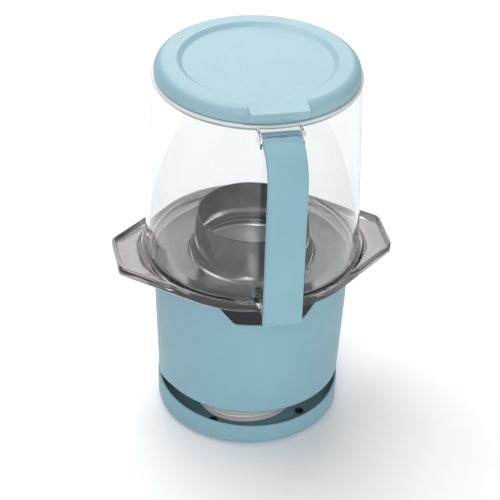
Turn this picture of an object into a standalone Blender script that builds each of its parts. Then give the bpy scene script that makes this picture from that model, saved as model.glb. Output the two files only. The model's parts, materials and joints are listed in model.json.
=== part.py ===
"""Compact hot-air popcorn maker: a fan-and-heater base that stows its cord, a lift-off tray, a jar and a lid.

Metres, +Z up. The front, with the handle, the badge and the lid's tab, is at -Y; the tray's grips are at
+X and -X. The origin is in the middle of the footprint, on the surface that the feet stand on. Each body
hangs from an empty on the turned pieces' axis, and every size below is measured from that axis.
"""

from math import acos, atan2, cos, hypot, pi, radians, sin, tan

import bmesh
import bpy
from mathutils import Matrix, Vector

NAME = "popcorn_maker"

# Fits
GAP = 0.0003  # between pieces that touch
MERGE = 0.00005
SEGMENTS = 40  # round the large turned pieces
INNER = 28  # round the pieces inside the base
FEW = 16  # round the small ones
SCREW_SEGMENTS = 10
DRILL_SEGMENTS = 12
ARC_STEP = 0.0014  # a rounded corner gets one face for each such length of its radius

# Base dish
DISH_R = 0.0744
DISH_WALL = 0.0022
DISH_BOTTOM = 0.0015
DISH_FLOOR = 0.0040
SEAM_Z = 0.0250  # the dish's rim, where the housing stands on it
MOUTH_DIP = 0.0056  # how far the rim sinks at the front
MOUTH_TOP = 0.0332  # the housing's edge over the cord opening
FOOT_RING = 0.0540  # the feet's distance from the axis
FOOT_ANGLES = (-48, -132, 48, 132)  # degrees from +X
FOOT_R = 0.0065

# Cord store
HUB_R = 0.0300
CLAMP_RING = 0.0240  # the three base screws
CORD_WIDE = 0.0070
CORD_THICK = 0.0034
CORD_TURNS = 3
COIL_CENTRE = (-0.0046, -0.0062)
COIL_R = 0.0432
RELIEF_START = Vector((-0.0332, 0.0444, 0.0276))
RELIEF_WAY = Vector((-0.36, -0.933, 0)).normalized()
RELIEF_LONG = 0.0160
PLUG_CENTRE = Vector((0.0070, 0.0530, 0.0110))
PLUG_SIZE = Vector((0.0340, 0.0220, 0.0130))
BLADE_SPREAD = 0.00635  # each blade's distance from the plug's middle
BLADE_LONG = 0.0160
BLADE_HALF_THICK = 0.00075
BLADE_HALF_WIDE = 0.00315

# Housing and deck
HOUSING_FOOT_R = 0.0735
HOUSING_MID_R = 0.0772
HOUSING_TOP_R = 0.0784
HOUSING_MID_Z = 0.1040
HOUSING_TOP = 0.1368
HOUSING_WALL = 0.0024
PLATE_R = 0.0706
PLATE_Z = 0.0340
PLATE_THICK = 0.0027
BOSS_RING = 0.0660
BOSS_ANGLES = (90, 210, 330)
BOSS_R = 0.0062
BOSS_TOP = 0.0520
PILOT_R = 0.0017
DECK_R = 0.0782
DECK_TOP = 0.1417
DECK_THICK = 0.0025
MOUTH_R = 0.0470  # the deck's opening over the chamber
ROD_RING = 0.0530
ROD_ANGLES = (30, 150, 270)
BADGE_BOTTOM = 0.1222
BADGE_HALF = 0.0275
BADGE_TOP_HALF = 0.0398
BADGE_GAP = 0.0007

# Fan, motor, heater and chamber
FAN_DUCT_R = 0.0588
FAN_DUCT_TOP = 0.0624
IMPELLER_R = 0.0440
IMPELLER_Z = 0.0420
IMPELLER_TALL = 0.0136
IMPELLER_BLADES = 10
SHAFT_R = 0.0015
MOTOR_R = 0.0140
MOTOR_Z = 0.0647
MOTOR_TOP = 0.0880
HEATER_R = 0.0355
HEATER_TURNS = 4
SLEEVE_R = 0.0503
SLEEVE_TOP = 0.1369
CHAMBER_R = 0.0445
CHAMBER_WALL = 0.0012
CHAMBER_FLOOR = 0.1002
CHAMBER_TOP = 0.1386
CHAMBER_SLOTS = 12

# Tray
TRAY_R = 0.0888
TRAY_BOTTOM = 0.1428
TRAY_LIP = 0.1506
TRAY_WALL = 0.0022
TRAY_SEAT = 0.1490
GRIP_X = 0.1105
GRIP_HALF = 0.0205
GRIP_CORNER = 0.0080
CHUTE_R = 0.0464
CHUTE_TOP = 0.1785

# Jar, handle and lid
JAR_RIM_R = 0.0809
JAR_FOOT_R = 0.0860
JAR_WALL = 0.0026
JAR_FOOT = 0.1493
JAR_TOP = 0.3029
HANDLE_Y = -0.1180
HANDLE_THICK = 0.0060
HANDLE_WIDE = 0.0300
HANDLE_TOP = 0.2985
HANDLE_FOOT = 0.1495
HANDLE_BEND = 0.0300
LUG_WIDE = 0.0240
LID_R = 0.0792
LID_TOP = 0.3150
LID_SHOULDER = 0.0080
LID_RECESS_R = 0.0610
LID_RECESS = 0.0030
LID_TAB_HALF = 0.0220
LID_TAB_Y = -0.0845


# ---- collections, materials and helpers ----

def fresh_scene():
    for old in list(bpy.data.objects):
        bpy.data.objects.remove(old)
    made = []
    for title in (NAME, "cutters"):
        collection = bpy.data.collections.new(title)
        bpy.context.scene.collection.children.link(collection)
        made.append(collection)
    return made


PARTS, CUTTERS = fresh_scene()


def material(name, colour, roughness, metallic=0.0, alpha=1.0):
    made = bpy.data.materials.new(name)
    made.use_nodes = True
    shader = made.node_tree.nodes["Principled BSDF"]
    shader.inputs["Base Color"].default_value = (*colour, 1)
    shader.inputs["Roughness"].default_value = roughness
    shader.inputs["Metallic"].default_value = metallic
    shader.inputs["Alpha"].default_value = alpha
    made.diffuse_color = (*colour, alpha)
    return made


FINISHES = {
    "aqua_shell": material("aqua_shell", (0.33, 0.54, 0.60), 0.55),
    "lid_aqua": material("lid_aqua", (0.42, 0.63, 0.68), 0.5),
    "clear_jar": material("clear_jar", (0.93, 0.95, 0.95), 0.05, alpha=0.25),
    "smoked_tray": material("smoked_tray", (0.20, 0.18, 0.20), 0.08, alpha=0.6),
    "charcoal": material("charcoal", (0.09, 0.08, 0.09), 0.45),
    "black_plastic": material("black_plastic", (0.03, 0.03, 0.03), 0.5),
    "foot_rubber": material("foot_rubber", (0.02, 0.02, 0.02), 0.85),
    "cord_white": material("cord_white", (0.78, 0.72, 0.70), 0.45),
    "aluminium": material("aluminium", (0.80, 0.80, 0.81), 0.3, 1.0),
    "steel": material("steel", (0.56, 0.57, 0.58), 0.35, 1.0),
    "brass": material("brass", (0.78, 0.62, 0.30), 0.3, 1.0),
    "mica": material("mica", (0.55, 0.47, 0.36), 0.6),
    "nichrome": material("nichrome", (0.42, 0.38, 0.35), 0.4, 1.0),
    "board_green": material("board_green", (0.06, 0.22, 0.10), 0.5),
}


def frame(name, where=(0, 0, 0)):
    """An empty that the pieces of one moving body hang from."""
    empty = bpy.data.objects.new(name, None)
    empty.location = where
    empty.empty_display_size = 0.02
    PARTS.objects.link(empty)
    return empty


def add(name, data, finish, parent):
    obj = bpy.data.objects.new(name, data)
    PARTS.objects.link(obj)
    obj.parent = parent
    if finish:
        data.materials.append(FINISHES[finish])
    return obj


def as_tool(obj):
    """Makes an object a cutter: it shapes others and isn't a piece itself."""
    PARTS.objects.unlink(obj)
    CUTTERS.objects.link(obj)
    obj.hide_render = True
    obj.display_type = "WIRE"
    return obj


def shape(target, tool, operation="DIFFERENCE"):
    """Cuts, joins or meets the target with a tool that stands in the target's body."""
    if not tool.parent:
        tool.parent = target.parent
    step = target.modifiers.new(tool.name, "BOOLEAN")
    step.operation = operation
    step.object = as_tool(tool)
    return target


def baked(obj):
    """Turns an object and its modifiers into a plain mesh with welded, smooth-shaded faces."""
    bpy.context.view_layer.update()
    data = bpy.data.meshes.new_from_object(obj.evaluated_get(bpy.context.evaluated_depsgraph_get()))
    body = bmesh.new()
    body.from_mesh(data)
    bmesh.ops.remove_doubles(body, verts=body.verts, dist=MERGE)
    body.to_mesh(data)
    body.free()
    data.shade_smooth()
    data.set_sharp_from_angle(angle=radians(35))
    solid = bpy.data.objects.new(obj.name, data)
    PARTS.objects.link(solid)
    solid.parent = obj.parent
    name = obj.name
    bpy.data.objects.remove(obj)
    solid.name = name
    return solid


def rounded(corners, closed=True):
    """An outline's points from (x, y) or (x, y, radius) corners, with an arc at each that has a radius."""
    points = []
    for i, corner in enumerate(corners):
        here = Vector(corner[:2])
        radius = corner[2] if len(corner) > 2 else 0
        if not radius or (not closed and i in (0, len(corners) - 1)):
            points.append(here)
            continue
        back = (Vector(corners[i - 1][:2]) - here).normalized()
        on = (Vector(corners[(i + 1) % len(corners)][:2]) - here).normalized()
        half = back.angle(on) / 2
        centre = here + (back + on).normalized() * (radius / sin(half))
        start = (here + back * (radius / tan(half)) - centre).normalized()
        end = (here + on * (radius / tan(half)) - centre).normalized()
        steps = min(8, max(1, round(radius / ARC_STEP)))
        points += [centre + start.slerp(end, k / steps) * radius for k in range(steps + 1)]
    return points


def turned(name, corners, finish, parent, segments=SEGMENTS, closed=True):
    """A profile of (radius, height) corners turned about the Z axis. It runs down the outer side."""
    points = rounded(corners, closed)
    edges = [(i, i + 1) for i in range(len(points) - 1)]
    if closed:
        edges.append((len(points) - 1, 0))
    data = bpy.data.meshes.new(name)
    data.from_pydata([(x, 0, z) for x, z in points], edges, [])
    obj = add(name, data, finish, parent)
    screw = obj.modifiers.new("Turn", "SCREW")
    screw.axis = "Z"
    screw.angle = 2 * pi
    screw.steps = screw.render_steps = segments
    screw.use_merge_vertices = True
    screw.merge_threshold = MERGE
    return baked(obj)


def box(name, low, high, finish=None, parent=None, bevel=0.0):
    body = bmesh.new()
    bmesh.ops.create_cube(body, size=1)
    size = Vector(high) - Vector(low)
    bmesh.ops.scale(body, vec=size, verts=body.verts)
    bmesh.ops.translate(body, vec=Vector(low) + size / 2, verts=body.verts)
    data = bpy.data.meshes.new(name)
    body.to_mesh(data)
    body.free()
    obj = add(name, data, finish, parent)
    if bevel:
        step = obj.modifiers.new("Edges", "BEVEL")
        step.width = bevel
        step.segments = 2
    return obj


def cylinder(name, radius, low, high, finish=None, parent=None, at=(0, 0), segments=FEW):
    """An upright cylinder from height low to height high, over the point at."""
    body = bmesh.new()
    bmesh.ops.create_cone(
        body, cap_ends=True, segments=segments, radius1=radius, radius2=radius, depth=high - low)
    data = bpy.data.meshes.new(name)
    body.to_mesh(data)
    body.free()
    obj = add(name, data, finish, parent)
    obj.location = (*at, (low + high) / 2)
    return obj


def flat(name, outline, thick, finish=None, parent=None):
    """A flat outline in the XY plane, thick along Z and centred on it, as a mesh."""
    curve = bpy.data.curves.new(name, "CURVE")
    curve.dimensions = "2D"
    curve.fill_mode = "BOTH"
    curve.extrude = thick / 2
    spline = curve.splines.new("POLY")
    spline.points.add(len(outline) - 1)
    for point, (x, y) in zip(spline.points, outline):
        point.co = (x, y, 0, 1)
    spline.use_cyclic_u = True
    return baked(add(name, curve, finish, parent))


def tube(name, points, radius, finish, parent):
    """A round tube through the points, smoothed by a Catmull-Rom curve."""
    route = smooth_route([Vector(p) for p in points], 2.5 * 2 * radius)
    curve = bpy.data.curves.new(name, "CURVE")
    curve.dimensions = "3D"
    curve.bevel_depth = radius
    curve.bevel_resolution = 2
    curve.use_fill_caps = True
    spline = curve.splines.new("POLY")
    spline.points.add(len(route) - 1)
    for point, place in zip(spline.points, route):
        point.co = (*place, 1)
    return add(name, curve, finish, parent)


def smooth_route(points, step):
    """Points about a step apart on the Catmull-Rom curve through the route's own points."""
    ends = [2 * points[0] - points[1], *points, 2 * points[-1] - points[-2]]
    route = []
    for a, b, c, d in zip(ends, ends[1:], ends[2:], ends[3:]):
        count = max(1, round((c - b).length / step))
        for k in range(count):
            t = k / count
            route.append(
                0.5 * (2 * b + (c - a) * t + (2 * a - 5 * b + 4 * c - d) * t**2
                       + (3 * b - a - 3 * c + d) * t**3))
    return route + [points[-1]]


def ring_places(radius, angles):
    """Points on a circle about the axis, at angles in degrees from +X."""
    return [(radius * cos(radians(a)), radius * sin(radians(a))) for a in angles]


def drill(target, radius, low, high, places):
    """Cuts an upright hole at each place."""
    for i, at in enumerate(places):
        name = f"{target.name}_hole_{i}_{low:.4f}"
        shape(target, cylinder(name, radius, low, high, at=at, segments=DRILL_SEGMENTS))


def across(name, outline, near, far):
    """A cutter with an outline in the XZ plane, running along Y from near to far."""
    tool = flat(name, outline, far - near)
    tool.rotation_euler = (pi / 2, 0, 0)
    tool.location = (0, (near + far) / 2, 0)
    return tool


def even(count, start=0.0):
    return [start + 360 * i / count for i in range(count)]


# ---- base: dish, feet and cord store ----

def base_dish(body):
    dish = turned("base_dish", [
        (0, DISH_FLOOR),
        (DISH_R - DISH_WALL, DISH_FLOOR, 0.003),
        (DISH_R - DISH_WALL, SEAM_Z, 0.0008),
        (DISH_R, SEAM_Z, 0.0012),
        (DISH_R - 0.0006, DISH_BOTTOM, 0.004),
        (0, DISH_BOTTOM)], "aqua_shell", body, closed=False)
    half = DISH_R + 0.0006
    dip = [(half * cos(a), SEAM_Z - MOUTH_DIP * sin(a)) for a in (pi * i / 24 for i in range(25))]
    mouth = across("dish_mouth", [(half, 0.03), *dip, (-half, 0.03)], -0.08, -0.002)
    shape(dish, mouth)
    drill(dish, 0.0026, 0, 0.006, ring_places(FOOT_RING, FOOT_ANGLES))
    screws = ring_places(CLAMP_RING, BOSS_ANGLES)
    drill(dish, 0.0016, 0, 0.006, screws)
    drill(dish, 0.0033, 0, 0.0031, screws)


def feet(body):
    for i, (x, y) in enumerate(ring_places(FOOT_RING, FOOT_ANGLES), 1):
        foot = turned(f"foot_{i}", [
            (0, 0.0063), (0.0027, 0.0063, 0.0008), (0.0027, DISH_FLOOR + GAP), (0.0022, DISH_FLOOR + GAP),
            (0.0022, DISH_BOTTOM - GAP), (FOOT_R, DISH_BOTTOM - GAP, 0.0003), (FOOT_R, 0, 0.0004),
            (0, 0)], "foot_rubber", body, FEW, False)
        foot.location = (x, y, 0)


def cord_hub(body):
    low, high = DISH_FLOOR + GAP, PLATE_Z - GAP
    hub = turned("cord_hub", [
        (HUB_R, high, 0.0005), (HUB_R, low, 0.0005), (HUB_R - 0.002, low), (HUB_R - 0.002, high)],
        "aqua_shell", body, INNER)
    for i, at in enumerate(ring_places(CLAMP_RING, BOSS_ANGLES)):
        shape(hub, cylinder(f"hub_boss_{i}", 0.0046, low, high, at=at), "UNION")
    drill(hub, 0.0016, 0, 0.04, ring_places(CLAMP_RING, BOSS_ANGLES))


def base_screws(body):
    for i, (x, y) in enumerate(ring_places(CLAMP_RING, BOSS_ANGLES), 1):
        screw = turned(f"base_screw_{i}", [
            (0, 0.0362), (0.0013, 0.0362), (0.0013, 0.0028), (0.0029, 0.0028), (0.0029, 0.0017, 0.0004),
            (0.0009, 0.0017), (0.0009, 0.0023), (0, 0.0023)], "steel", body, SCREW_SEGMENTS, False)
        screw.location = (x, y, 0)


def cord(body):
    """The stowed lead: a ring for its turns, a lead-in from the strain relief and a lead-out to the plug."""
    high = DISH_FLOOR + GAP + CORD_TURNS * CORD_WIDE + 0.0002
    coil = turned("cord_coil", [
        (COIL_R, high, 0.0012), (COIL_R, DISH_FLOOR + GAP, 0.0012),
        (COIL_R - CORD_THICK - 0.0002, DISH_FLOOR + GAP), (COIL_R - CORD_THICK - 0.0002, high)],
        "cord_white", body, INNER)
    coil.location = (*COIL_CENTRE, 0)
    start = RELIEF_START + RELIEF_WAY * (RELIEF_LONG + GAP)
    over = high + GAP + 0.0024
    tube("cord_lead_in", [
        start, start + RELIEF_WAY * 0.008, (-0.0446, 0.0120, over), (-0.0461, -0.0010, over)],
        0.0024, "cord_white", body)
    tube("cord_lead_out", [
        (0.0372, 0.0130, 0.0085), (0.0398, 0.0240, 0.0092), (0.0400, 0.0360, 0.0104),
        (0.0352, 0.0470, 0.0109), (0.0300, 0.0522, 0.0110), (0.0246, 0.0530, 0.0110)],
        0.0024, "cord_white", body)


def strain_relief(body):
    x, y, z = RELIEF_START
    clamp = box("cord_clamp", (-0.0065, -0.006, 0.0215), (0.0065, 0.006, PLATE_Z - GAP),
                "black_plastic", body, 0.001)
    turn = atan2(RELIEF_WAY.y, RELIEF_WAY.x) + pi / 2
    clamp.rotation_euler = (0, 0, turn)
    back = RELIEF_START - RELIEF_WAY * (0.006 + GAP)
    clamp.location = (back.x, back.y, 0)
    relief = turned("strain_relief", [
        (0, 0), (0.0042, 0, 0.0006), (0.0042, -0.003, 0.0004), (0.0036, -0.0034),
        (0.0028, -RELIEF_LONG, 0.0004), (0, -RELIEF_LONG)], "cord_white", body, FEW, False)
    relief.rotation_euler = Vector((0, 0, -1)).rotation_difference(RELIEF_WAY).to_euler()
    relief.location = (x, y, z)


def plug(body):
    low, high = PLUG_CENTRE - PLUG_SIZE / 2, PLUG_CENTRE + PLUG_SIZE / 2
    box("plug_body", low, high, "cord_white", body, 0.003)
    for i, side in enumerate((-1, 1)):
        y = PLUG_CENTRE.y + side * BLADE_SPREAD
        tip = (low.x - GAP - BLADE_LONG, y - BLADE_HALF_THICK, PLUG_CENTRE.z - BLADE_HALF_WIDE)
        root = (low.x - GAP, y + BLADE_HALF_THICK, PLUG_CENTRE.z + BLADE_HALF_WIDE)
        box(f"plug_blade_{'ab'[i]}", tip, root, "brass", body, 0.0003)


# ---- base: housing and deck ----

def housing_profile(inset=0.0):
    """The housing's outer radius at its foot, middle and top, less an inset."""
    return ((HOUSING_FOOT_R - inset, SEAM_Z + GAP), (HOUSING_MID_R - inset, HOUSING_MID_Z),
            (HOUSING_TOP_R - inset, HOUSING_TOP))


def badge_outline(inset=0.0):
    """The notch in the housing's front, with sides that sweep up into its top edge, or a plate in it."""
    shoulder = HOUSING_TOP - 0.0002 + inset
    right = [
        (0.06, shoulder), (BADGE_TOP_HALF - inset, shoulder, 0.008 + inset),
        (BADGE_HALF - inset, BADGE_BOTTOM + inset, 0.004 - inset)]
    return [(0.06, 0.146), *right, *[(-x, *rest) for x, *rest in right[::-1]], (-0.06, 0.146)]


def outer_housing(body):
    foot, middle, top = housing_profile()
    foot_in, middle_in, top_in = housing_profile(HOUSING_WALL)
    shell = turned("outer_housing", [
        (*top, 0.0006), middle, (*foot, 0.0018), foot_in, middle_in, top_in], "aqua_shell", body)
    half = HOUSING_FOOT_R + 0.0003
    opening = [(half, 0.02), (half, MOUTH_TOP, 0.008), (-half, MOUTH_TOP, 0.008), (-half, 0.02)]
    shape(shell, across("housing_mouth", rounded(opening), -0.08, -0.003))
    shape(shell, across("badge_notch", rounded(badge_outline()), -0.09, -0.05))
    for i, at in enumerate(ring_places(BOSS_RING, BOSS_ANGLES)):
        boss = cylinder(f"housing_boss_{i}", BOSS_R, PLATE_Z + PLATE_THICK + GAP, BOSS_TOP, at=at,
                        segments=DRILL_SEGMENTS)
        shape(shell, boss, "UNION")
    drill(shell, PILOT_R, 0.03, BOSS_TOP - 0.002, ring_places(BOSS_RING, BOSS_ANGLES))


def front_badge(body):
    outer, inner = HOUSING_TOP_R - 0.0006, HOUSING_TOP_R - 0.0026
    high = HOUSING_TOP - GAP
    badge = turned("front_badge", [
        (outer, high), (outer - 0.0004, 0.120), (inner - 0.0004, 0.120), (inner, high)], "charcoal", body)
    shape(badge, across("badge_blank", rounded(badge_outline(BADGE_GAP)), -0.09, -0.05), "INTERSECT")


def top_deck(body):
    low = HOUSING_TOP + GAP
    under = DECK_TOP - DECK_THICK
    deck = turned("top_deck", [
        (DECK_R, DECK_TOP, 0.0012), (DECK_R, low, 0.0004), (0.0752, low), (0.0752, 0.1330), (0.0734, 0.1330),
        (0.0734, under), (MOUTH_R, under), (MOUTH_R, DECK_TOP, 0.0008)], "charcoal", body)
    drill(deck, 0.0018, 0.130, 0.145, ring_places(ROD_RING, ROD_ANGLES))
    drill(deck, 0.0032, 0.1400, 0.145, ring_places(ROD_RING, ROD_ANGLES))


def base_plate(body):
    high = PLATE_Z + PLATE_THICK
    plate = turned("base_plate", [
        (0, high), (PLATE_R, high, 0.0005), (PLATE_R, PLATE_Z, 0.0005), (0, PLATE_Z)],
        "black_plastic", body, INNER, False)
    slots = bmesh.new()
    for angle in even(14):
        turn = Matrix.Rotation(radians(angle), 4, "Z")
        place = turn @ Matrix.Translation((0.041, 0, PLATE_Z)) @ Matrix.Diagonal((0.017, 0.0042, 0.012, 1))
        bmesh.ops.create_cube(slots, size=1, matrix=place)
    data = bpy.data.meshes.new("intake_slots")
    slots.to_mesh(data)
    slots.free()
    shape(plate, add("intake_slots", data, None, body))
    drill(plate, 0.0016, 0.03, 0.04, ring_places(CLAMP_RING, BOSS_ANGLES))
    drill(plate, 0.0020, 0.03, 0.04, ring_places(BOSS_RING, BOSS_ANGLES))


def housing_screws(body):
    for i, (x, y) in enumerate(ring_places(BOSS_RING, BOSS_ANGLES), 1):
        screw = turned(f"housing_screw_{i}", [
            (0, 0.048), (0.0014, 0.048), (0.0014, PLATE_Z - GAP), (0.0030, PLATE_Z - GAP),
            (0.0030, 0.0324, 0.0005), (0, 0.0324)], "steel", body, SCREW_SEGMENTS, False)
        screw.location = (x, y, 0)


# ---- base: fan duct, motor, heater and chamber ----

def fan_duct(body):
    low = PLATE_Z + PLATE_THICK + GAP
    duct = turned("fan_duct", [
        (FAN_DUCT_R, FAN_DUCT_TOP, 0.001), (FAN_DUCT_R, low), (FAN_DUCT_R - 0.002, low),
        (FAN_DUCT_R - 0.002, FAN_DUCT_TOP - 0.0022), (0.047, FAN_DUCT_TOP - 0.0022),
        (0.047, FAN_DUCT_TOP)], "black_plastic", body, INNER)
    drill(duct, 0.0018, 0.055, 0.07, ring_places(ROD_RING, ROD_ANGLES))


def motor_bracket(body):
    low, high = FAN_DUCT_TOP + GAP, MOTOR_Z - GAP
    ring = turned("motor_bracket", [
        (0.0575, high), (0.0575, low), (0.0485, low), (0.0485, high)], "steel", body, INNER)
    for i, angle in enumerate(ROD_ANGLES):
        arm = box(f"bracket_arm_{i}", (0.012, -0.004, low), (0.050, 0.004, high))
        arm.rotation_euler = (0, 0, radians(angle))
        shape(ring, arm, "UNION")
    shape(ring, cylinder("bracket_hub", 0.016, low, high), "UNION")
    drill(ring, 0.0043, 0.05, 0.08, [(0, 0)])
    drill(ring, 0.0018, 0.05, 0.08, ring_places(ROD_RING, ROD_ANGLES))


def motor(body):
    turned("motor_bush", [
        (0.0040, MOTOR_Z - GAP), (0.0040, FAN_DUCT_TOP + GAP), (0.00156, FAN_DUCT_TOP + GAP),
        (0.00156, MOTOR_Z - GAP)], "brass", body, FEW)
    turned("motor_can", [
        (0, MOTOR_TOP), (MOTOR_R, MOTOR_TOP, 0.001), (MOTOR_R, MOTOR_Z, 0.001), (0.0018, MOTOR_Z),
        (0.0018, 0.0712), (0, 0.0712)], "steel", body, FEW, False)
    turned("motor_end_bell", [
        (0, MOTOR_TOP + 0.0035), (0.0125, MOTOR_TOP + 0.0035, 0.0008), (0.0125, MOTOR_TOP + GAP),
        (0, MOTOR_TOP + GAP)], "black_plastic", body, FEW, False)
    for i, side in enumerate((-1, 1)):
        box(f"motor_terminal_{'ab'[i]}", (side * 0.007 - 0.0014, -0.0003, MOTOR_TOP + 0.0038),
            (side * 0.007 + 0.0014, 0.0003, MOTOR_TOP + 0.0078), "brass", body)


def heater(body):
    low = MOTOR_Z
    rig = turned("heater_frame", [
        (0.0470, low + 0.0013), (0.0470, low), (0.0180, low), (0.0180, low + 0.0013)], "mica", body, INNER)
    for i, angle in enumerate(even(6, 15)):
        fin = box(f"heater_fin_{i}", (0.0190, -0.0005, low + 0.0008), (HEATER_R - 0.0028, 0.0005, 0.0930))
        fin.rotation_euler = (0, 0, radians(angle))
        shape(rig, fin, "UNION")
    turn_points = 14
    winding = bpy.data.curves.new("heater_coil", "CURVE")
    winding.dimensions = "3D"
    winding.bevel_depth = 0.0012
    winding.bevel_resolution = 2
    winding.use_fill_caps = True
    spline = winding.splines.new("POLY")
    count = HEATER_TURNS * turn_points
    spline.points.add(count)
    for i, point in enumerate(spline.points):
        angle = 2 * pi * i / turn_points
        point.co = (HEATER_R * cos(angle), HEATER_R * sin(angle), 0.0700 + 0.0200 * i / count, 1)
    add("heater_coil", winding, "nichrome", body)
    cylinder("thermostat", 0.0065, 0.0952, CHAMBER_FLOOR - GAP, "steel", body, (0.0190, 0), 24)
    fuse = cylinder("thermal_fuse", 0.0018, -0.006, 0.006, "brass", body, segments=16)
    fuse.rotation_euler = (pi / 2, 0, 0)
    fuse.location = (-0.0190, 0, CHAMBER_FLOOR - GAP - 0.0018)


def rectifier(body):
    board = box("rectifier_board", (-0.013, 0.0608, 0.074), (0.013, 0.0622, 0.094), "board_green", body)
    for i in range(4):
        x = -0.009 + 0.006 * i
        shape(board, box(f"diode_{i}", (x - 0.0014, 0.0616, 0.079), (x + 0.0014, 0.0652, 0.089)), "UNION")
    for i, name in enumerate(("mains_wire_live", "mains_wire_neutral")):
        shift = 0.006 * i
        tube(name, [
            (-0.0330 + shift, 0.0575, 0.0382), (-0.0330 + shift, 0.0580, 0.0500),
            (-0.0230 + shift, 0.0612, 0.0620), (-0.0100 + shift, 0.0625, 0.0680),
            (-0.0080 + shift, 0.0618, 0.0734)], 0.0011, "cord_white", body)


def air_sleeve(body):
    turned("air_sleeve", [
        (SLEEVE_R, SLEEVE_TOP), (SLEEVE_R, MOTOR_Z), (SLEEVE_R - 0.001, MOTOR_Z),
        (SLEEVE_R - 0.001, SLEEVE_TOP)], "steel", body, INNER)


def popping_chamber(body):
    inner = CHAMBER_R - CHAMBER_WALL
    flange = CHAMBER_TOP - CHAMBER_WALL
    cup = turned("popping_chamber", [
        (0, CHAMBER_FLOOR + CHAMBER_WALL + 0.002), (0.012, CHAMBER_FLOOR + CHAMBER_WALL + 0.001),
        (0.022, CHAMBER_FLOOR + CHAMBER_WALL), (inner, CHAMBER_FLOOR + CHAMBER_WALL, 0.004),
        (inner, CHAMBER_TOP, 0.0008), (0.057, CHAMBER_TOP), (0.057, flange), (CHAMBER_R, flange),
        (CHAMBER_R, CHAMBER_FLOOR, 0.005), (0, CHAMBER_FLOOR)], "aluminium", body, INNER, False)
    slots = bmesh.new()
    for angle in even(CHAMBER_SLOTS):
        place = (Matrix.Rotation(radians(angle), 4, "Z") @ Matrix.Translation((inner, 0, 0.1125))
                 @ Matrix.Rotation(radians(35), 4, "Z") @ Matrix.Diagonal((0.012, 0.0020, 0.0120, 1)))
        bmesh.ops.create_cube(slots, size=1, matrix=place)
    data = bpy.data.meshes.new("chamber_slots")
    slots.to_mesh(data)
    slots.free()
    shape(cup, add("chamber_slots", data, None, body))
    drill(cup, 0.0018, 0.136, 0.140, ring_places(ROD_RING, ROD_ANGLES))


def tie_rods(body):
    """Long screws from the deck, through the chamber's flange and the bracket, into the fan duct."""
    for i, (x, y) in enumerate(ring_places(ROD_RING, ROD_ANGLES), 1):
        rod = turned(f"tie_rod_{i}", [
            (0, 0.1408), (0.0009, 0.1408), (0.0009, 0.1414), (0.0028, 0.1414, 0.0005), (0.0028, 0.1403),
            (0.0014, 0.1403), (0.0014, 0.0604), (0, 0.0604)], "steel", body, SCREW_SEGMENTS, False)
        rod.location = (x, y, 0)


# ---- rotor ----

def rotor(body):
    turned("motor_shaft", [
        (0, 0.0705), (SHAFT_R, 0.0705), (SHAFT_R, IMPELLER_Z - 0.002), (0, IMPELLER_Z - 0.002)],
        "steel", body, FEW, False)
    high = IMPELLER_Z + IMPELLER_TALL
    fan = turned("impeller", [
        (IMPELLER_R, high), (IMPELLER_R, high - 0.0016), (0.0065, high - 0.0016), (0.0060, IMPELLER_Z),
        (0.0018, IMPELLER_Z), (0.0018, high)], "black_plastic", body, INNER)
    blades = bmesh.new()
    for angle in even(IMPELLER_BLADES):
        place = (Matrix.Rotation(radians(angle), 4, "Z")
                 @ Matrix.Translation((0.029, 0, IMPELLER_Z + 0.0066)) @ Matrix.Rotation(radians(24), 4, "Z")
                 @ Matrix.Diagonal((0.026, 0.0014, 0.0120, 1)))
        bmesh.ops.create_cube(blades, size=1, matrix=place)
    data = bpy.data.meshes.new("impeller_blades")
    blades.to_mesh(data)
    blades.free()
    shape(fan, add("impeller_blades", data, None, body), "UNION")


# ---- tray ----

def grip_outline(inset=0.0):
    """One grip beyond the tray's circle: sides tangent to the circle, a straight end and rounded corners."""
    lean = atan2(GRIP_HALF, GRIP_X) + acos(TRAY_R / hypot(GRIP_X, GRIP_HALF))
    reach, end = TRAY_R - inset, GRIP_X - inset
    half = (reach - end * cos(lean)) / sin(lean)
    touch = (reach * cos(lean), reach * sin(lean))
    corner = max(GRIP_CORNER - inset, 0.001)
    return [(touch[0], -touch[1]), (end, -half, corner), (end, half, corner), touch]


def grip(body, side):
    deep = TRAY_LIP - TRAY_BOTTOM
    tab = flat(f"grip_{side}", rounded(grip_outline()), deep, "smoked_tray", body)
    tab.location = (0, 0, TRAY_BOTTOM + deep / 2)
    for name, low, high in (("above", 0.1470, 0.1530), ("below", 0.1400, 0.1448)):
        pocket = flat(f"grip_{name}_{side}", rounded(grip_outline(TRAY_WALL)), high - low)
        pocket.location = (0, 0, (low + high) / 2)
        if side < 0:
            pocket.rotation_euler = (0, 0, pi)
        shape(tab, pocket)
    if side < 0:
        tab.rotation_euler = (0, 0, pi)
    shape(tab, cylinder(f"grip_bowl_{side}", TRAY_R - 0.0014, 0.13, 0.16, segments=SEGMENTS))
    return tab


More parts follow.
